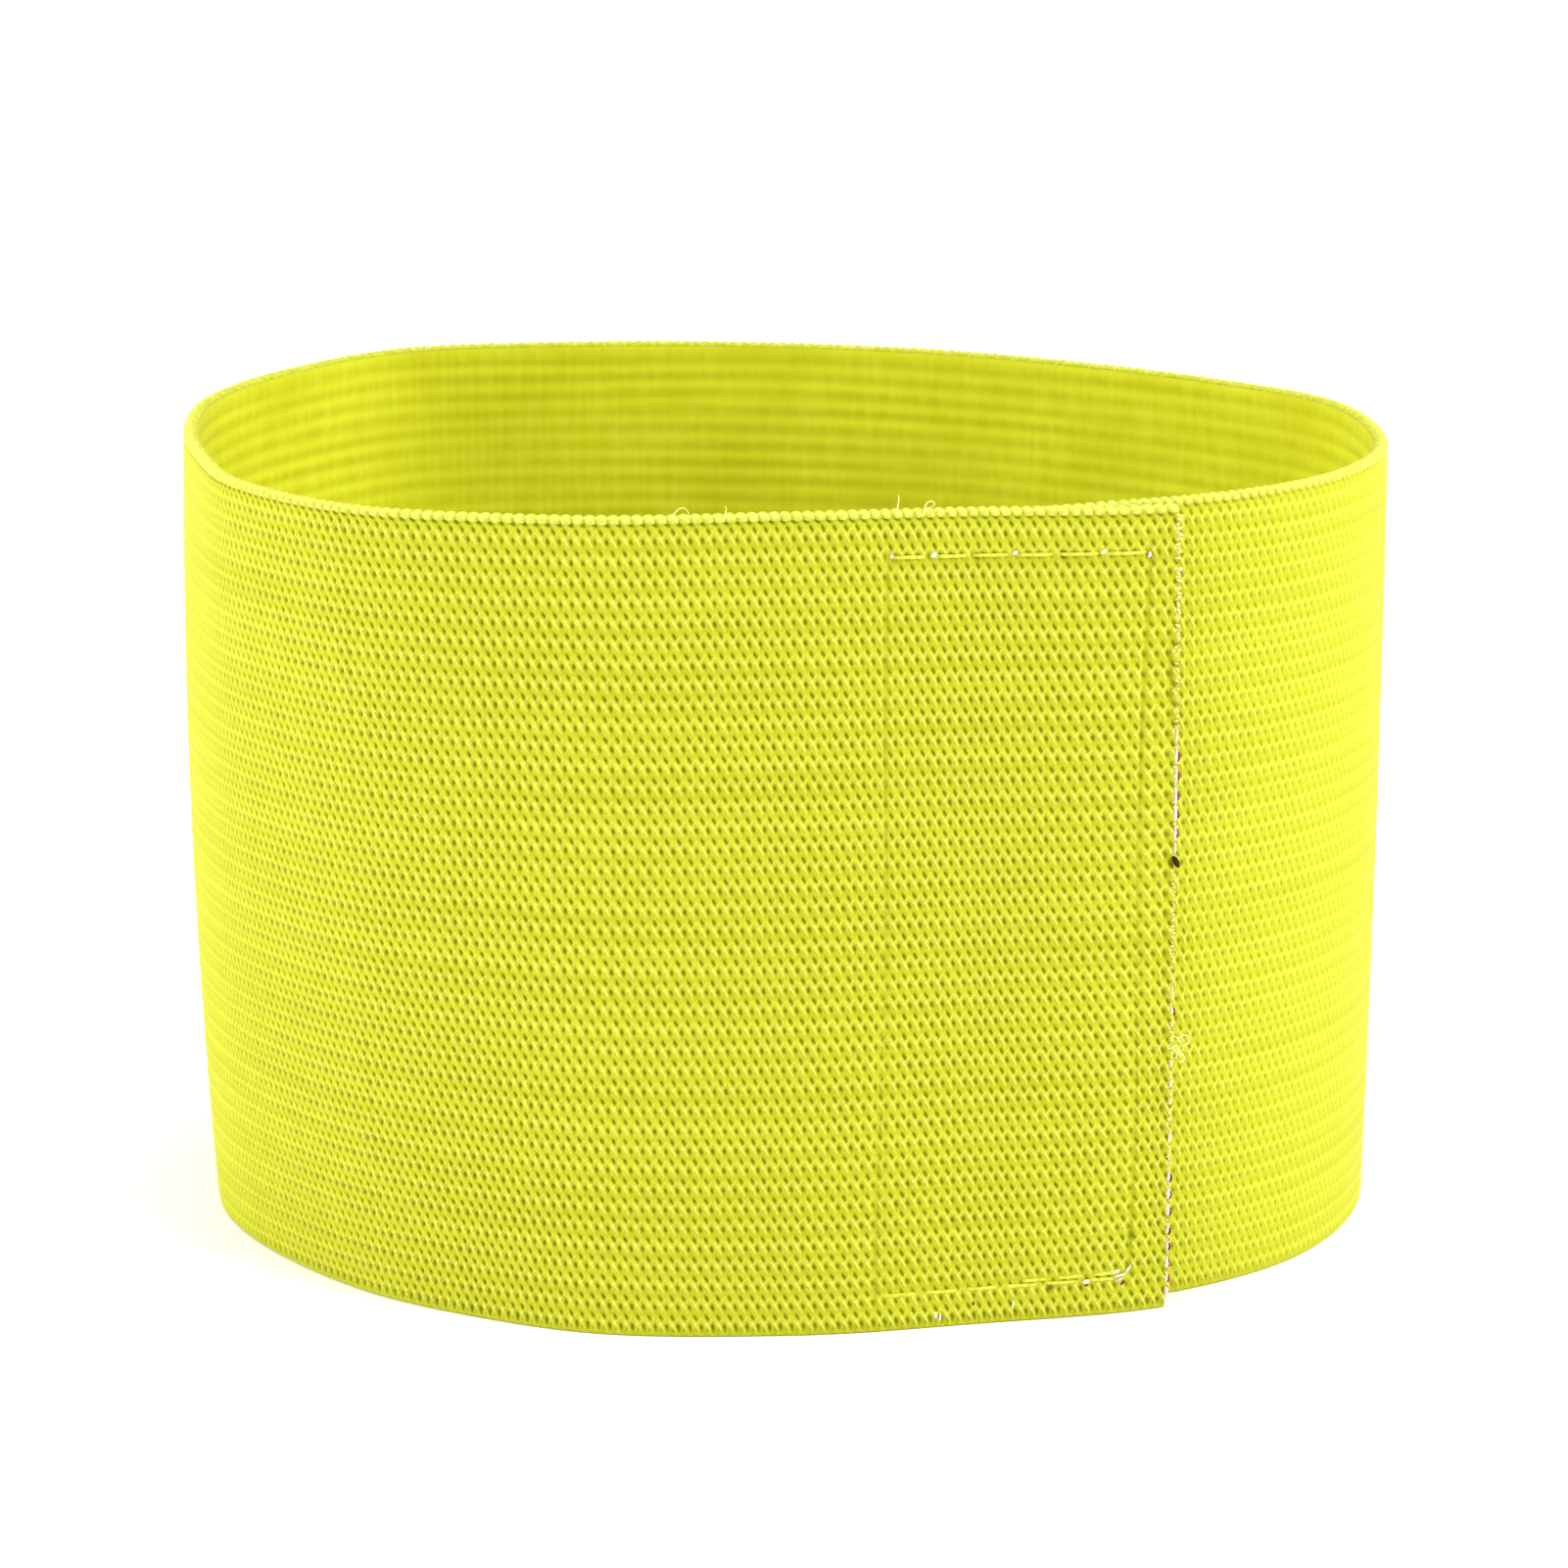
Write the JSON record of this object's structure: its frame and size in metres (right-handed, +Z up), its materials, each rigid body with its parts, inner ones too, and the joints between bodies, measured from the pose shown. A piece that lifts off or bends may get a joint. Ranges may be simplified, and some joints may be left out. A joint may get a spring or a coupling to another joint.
{
  "type": "captain armband",
  "caption": "Wide ribbed elastic armband standing as an oval ring, its flap closed over the inner end by hook and loop tape.",
  "frame": {"origin": "centre of the armband's outline at the level of its lower edge, which it stands on", "axes": "+Z up along the arm hole, +X to the right across the ring's longest way, -Y to the front, where the flap closes"},
  "size_m": [0.1076, 0.097, 0.07],
  "materials": {
    "elastic": "matte ribbed knitted elastic, neon yellow",
    "loop_tape": "matte brushed loop pile",
    "hook_tape": "satin moulded hooks"
  },
  "bodies": {
    "root": {"band": "elastic", "loop_tape": "loop_tape", "hook_tape": "hook_tape"}
  },
  "joints": []
}
